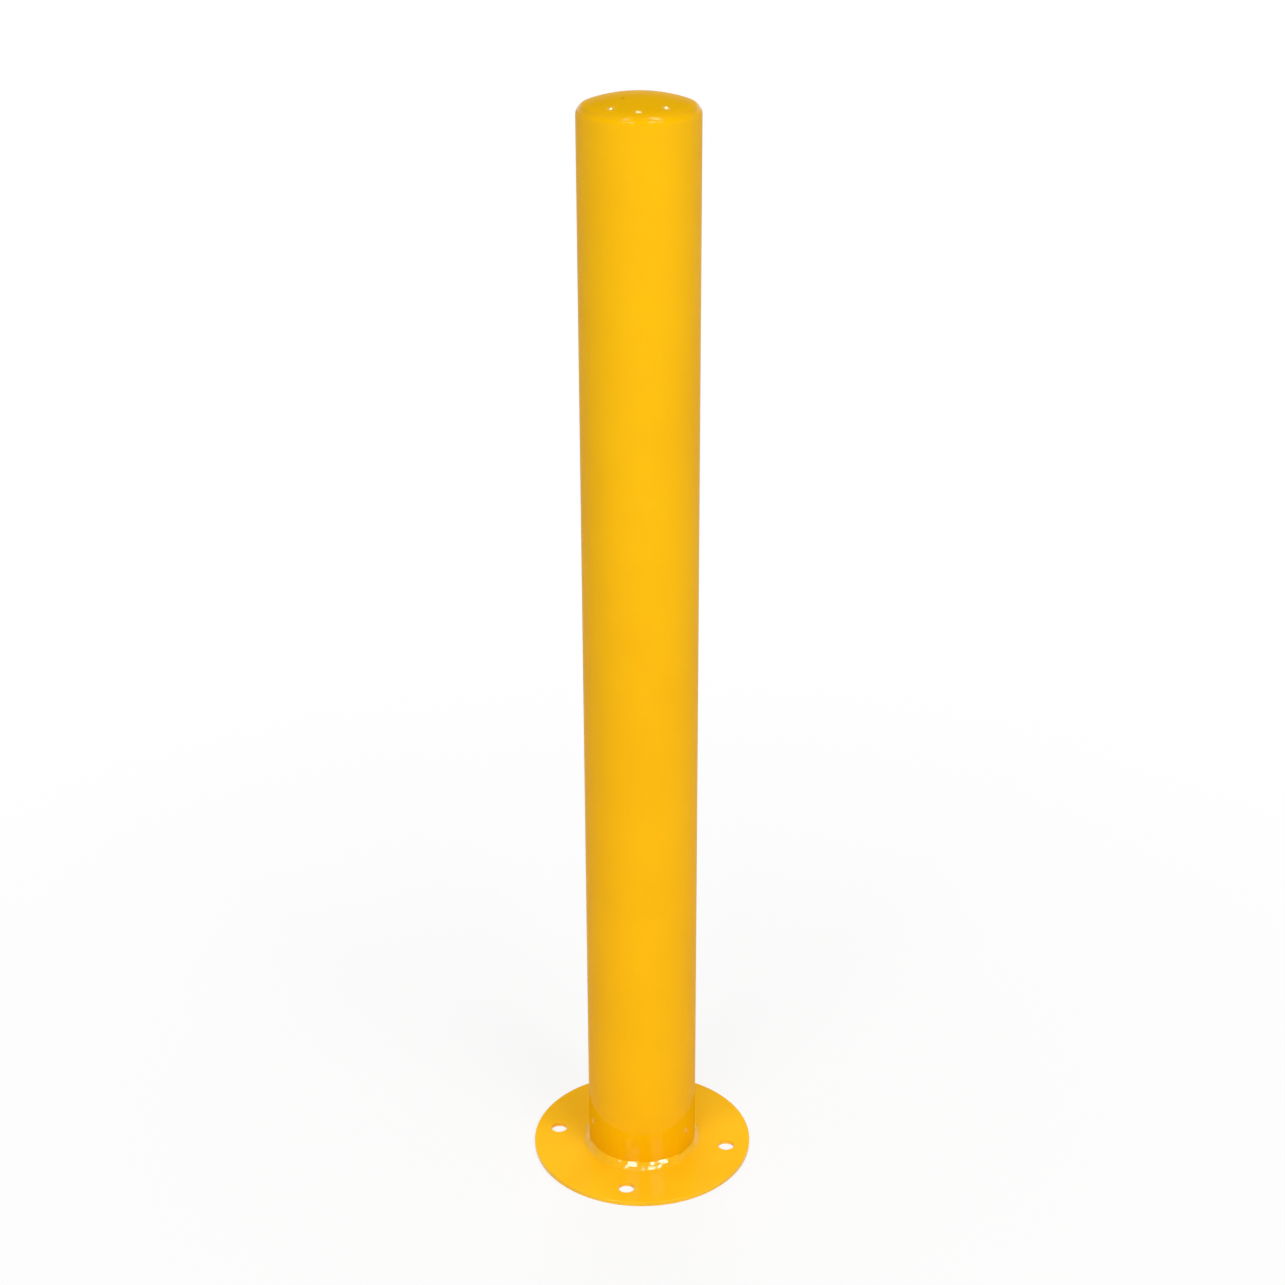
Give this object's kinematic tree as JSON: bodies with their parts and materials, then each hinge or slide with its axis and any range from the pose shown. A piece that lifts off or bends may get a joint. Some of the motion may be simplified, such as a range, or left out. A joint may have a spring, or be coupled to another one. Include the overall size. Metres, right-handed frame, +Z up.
{
  "type": "steel bollard post",
  "caption": "Upright round steel bollard with a domed cap, welded to a round base flange with anchor holes, in glossy yellow powder coat, for surface mounting.",
  "frame": {"origin": "centre of the flange's underside, on the post's axis, at the surface that the bollard stands on", "axes": "+Z up along the post towards the domed cap, +X through the centre of the first anchor hole"},
  "size_m": [0.22, 0.22, 1.067],
  "materials": {
    "yellow_coat": "glossy traffic-yellow powder coat on steel"
  },
  "bodies": {
    "root": {"base_flange": "yellow_coat", "post_tube": "yellow_coat", "dome_cap": "yellow_coat", "base_weld": "yellow_coat", "cap_weld": "yellow_coat"}
  },
  "joints": []
}
